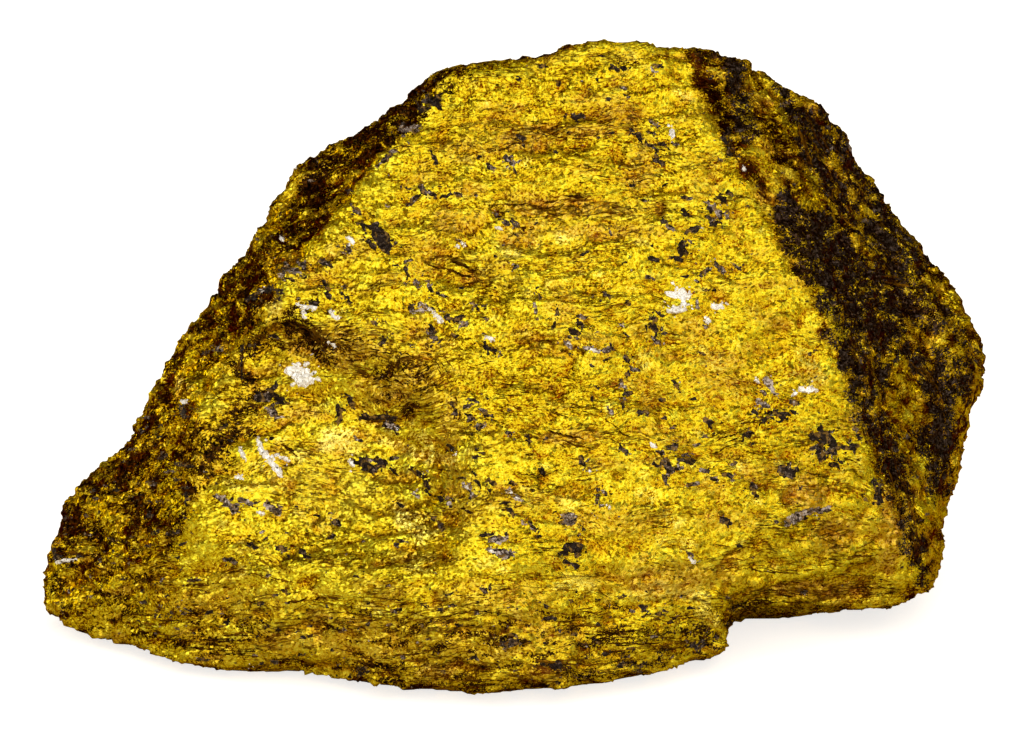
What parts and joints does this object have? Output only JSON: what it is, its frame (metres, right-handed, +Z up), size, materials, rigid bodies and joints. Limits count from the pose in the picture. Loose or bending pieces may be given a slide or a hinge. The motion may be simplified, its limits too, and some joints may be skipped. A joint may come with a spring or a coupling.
{
  "type": "chalcopyrite mineral specimen",
  "caption": "Broken lump of brassy chalcopyrite ore with tilted fracture faces, a shallow chipped hollow and a flat underside to rest on.",
  "frame": {"origin": "bottom centre of the bounding box, on the surface that the stone rests on", "axes": "+X to the right along the stone's length, +Y to its back, +Z up; the tall smooth face looks to -Y"},
  "size_m": [0.082, 0.0534, 0.0482],
  "materials": {
    "chalcopyrite": "rough broken sulphide ore with a brassy metallic lustre, brown to purple-black tarnish and small white grains"
  },
  "bodies": {
    "root": {"chalcopyrite_stone": "chalcopyrite"}
  },
  "joints": []
}
